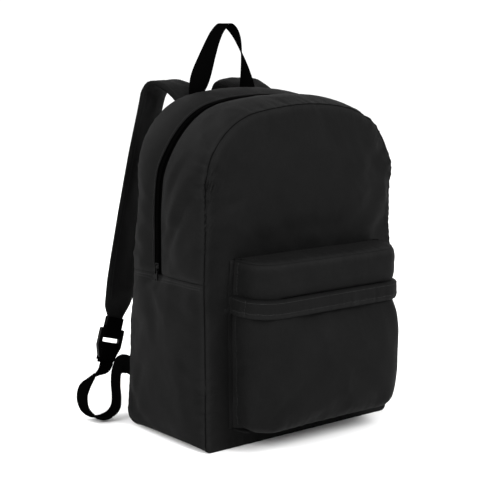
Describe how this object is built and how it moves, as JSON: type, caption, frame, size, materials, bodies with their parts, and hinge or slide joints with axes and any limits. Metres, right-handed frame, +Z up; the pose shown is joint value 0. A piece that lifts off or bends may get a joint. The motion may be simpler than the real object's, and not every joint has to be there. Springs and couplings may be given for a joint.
{
  "type": "school backpack",
  "caption": "Soft black school backpack with arched main zip, zipped front pocket under a flap, webbing haul handle and padded, buckled shoulder straps; lid, zips, flap, handle and straps move.",
  "frame": {"origin": "on the floor under the middle of the bounding box", "axes": "+Z up, -Y is the front with the pocket, and +X is the wearer's right, so the main slider at rest is on the wearer's left"},
  "size_m": [0.3862, 0.3046, 0.5076],
  "materials": {
    "bag_cloth": "plain-weave coated polyester, matt",
    "strap_cloth": "plain-weave polyester over foam",
    "binding": "woven binding tape",
    "foam": "closed-cell foam",
    "lining": "thin lining cloth",
    "webbing": "ribbed polypropylene webbing",
    "zip_tape": "fine woven tape",
    "zip_coil": "moulded nylon coil",
    "slider": "black enamelled die casting",
    "buckle": "moulded acetal, slight sheen"
  },
  "bodies": {
    "bag": {"back_panel": "bag_cloth", "front_panel": "bag_cloth", "base_panel": "bag_cloth", "side_panel_left": "bag_cloth", "side_panel_right": "bag_cloth", "rear_gusset": "bag_cloth", "gusset_corner_left": "bag_cloth", "gusset_corner_right": "bag_cloth", "back_padding": "foam", "back_lining": "lining", "back_seam_binding": "binding", "front_seam_binding": "binding", "main_zip_tape": "zip_tape", "main_zip_coil": "zip_coil", "main_zip_stops": "zip_coil", "pocket_front_panel": "bag_cloth", "pocket_upper_band": "bag_cloth", "pocket_base": "bag_cloth", "pocket_top": "bag_cloth", "pocket_zip_tapes": "zip_tape", "pocket_zip_coils": "zip_coil", "pocket_zip_stops": "zip_coil", "flap_end_left": "bag_cloth", "flap_end_right": "bag_cloth", "adjuster_webbing_left": "webbing", "adjuster_webbing_right": "webbing"},
    "lid": {"lid_front_panel": "bag_cloth", "lid_gusset": "bag_cloth", "lid_seam_binding": "binding", "lid_zip_tape": "zip_tape", "lid_zip_coil": "zip_coil"},
    "main_slider": {"main_slider": "slider"},
    "main_pull": {"main_pull": "slider"},
    "flap": {"pocket_flap": "bag_cloth"},
    "pocket_slider": {"pocket_slider": "slider"},
    "pocket_pull": {"pocket_pull": "slider"},
    "handle": {"haul_handle": "webbing"},
    "strap_left": {"strap_cover_left": "strap_cloth", "strap_lining_left": "strap_cloth", "strap_foam_left": "foam", "strap_binding_left": "binding", "strap_end_left": "strap_cloth", "buckle_loop_left": "webbing"},
    "strap_right": {"strap_cover_right": "strap_cloth", "strap_lining_right": "strap_cloth", "strap_foam_right": "foam", "strap_binding_right": "binding", "strap_end_right": "strap_cloth", "buckle_loop_right": "webbing"},
    "buckle_left": {"ladder_lock_left": "buckle"},
    "buckle_right": {"ladder_lock_right": "buckle"}
  },
  "joints": [
    {"name": "lid_fold", "type": "hinge", "parent": "bag", "child": "lid", "pos_m": [0, -0.0873, 0.24], "axis": [1, 0, 0], "range_deg": [0, 40]},
    {"name": "main_zip_slide", "type": "slide", "parent": "bag", "child": "main_slider", "axis": [0, 0, 1], "range_m": [0, 0.055]},
    {"name": "main_pull_swing", "type": "hinge", "parent": "main_slider", "child": "main_pull", "pos_m": [-0.1535, 0.0077, 0.2111], "axis": [0, 1, 0], "range_deg": [0, 150]},
    {"name": "flap_lift", "type": "hinge", "parent": "bag", "child": "flap", "pos_m": [0, -0.1476, 0.192], "axis": [-1, 0, 0], "range_deg": [0, 85]},
    {"name": "pocket_zip_slide", "type": "slide", "parent": "bag", "child": "pocket_slider", "axis": [1, 0, 0], "range_m": [0, 0.151]},
    {"name": "pocket_pull_swing", "type": "hinge", "parent": "pocket_slider", "child": "pocket_pull", "pos_m": [-0.0757, -0.1485, 0.184], "axis": [0, 1, 0], "range_deg": [-30, 30]},
    {"name": "handle_flop", "type": "hinge", "parent": "bag", "child": "handle", "pos_m": [0, 0.0543, 0.4245], "axis": [1, 0, 0], "range_deg": [-25, 55], "stiffness_Nm_per_rad": 0.06},
    {"name": "strap_left_swing", "type": "hinge", "parent": "bag", "child": "strap_left", "pos_m": [-0.055, 0.0533, 0.4165], "axis": [1, 0, 0], "range_deg": [-6, 20], "stiffness_Nm_per_rad": 0.8, "springref_deg": 2.86, "deforming": ["adjuster_webbing_left"]},
    {"name": "strap_right_swing", "type": "hinge", "parent": "bag", "child": "strap_right", "pos_m": [0.055, 0.0533, 0.4165], "axis": [1, 0, 0], "range_deg": [-6, 20], "stiffness_Nm_per_rad": 0.8, "springref_deg": 2.86, "deforming": ["adjuster_webbing_right"]},
    {"name": "buckle_left_tilt", "type": "hinge", "parent": "strap_left", "child": "buckle_left", "pos_m": [-0.13, 0.1442, 0.107], "axis": [0.9613, 0, -0.2756], "range_deg": [-30, 30], "deforming": ["adjuster_webbing_left"]},
    {"name": "buckle_right_tilt", "type": "hinge", "parent": "strap_right", "child": "buckle_right", "pos_m": [0.13, 0.1442, 0.107], "axis": [0.9613, 0, 0.2756], "range_deg": [-30, 30], "deforming": ["adjuster_webbing_right"]}
  ]
}
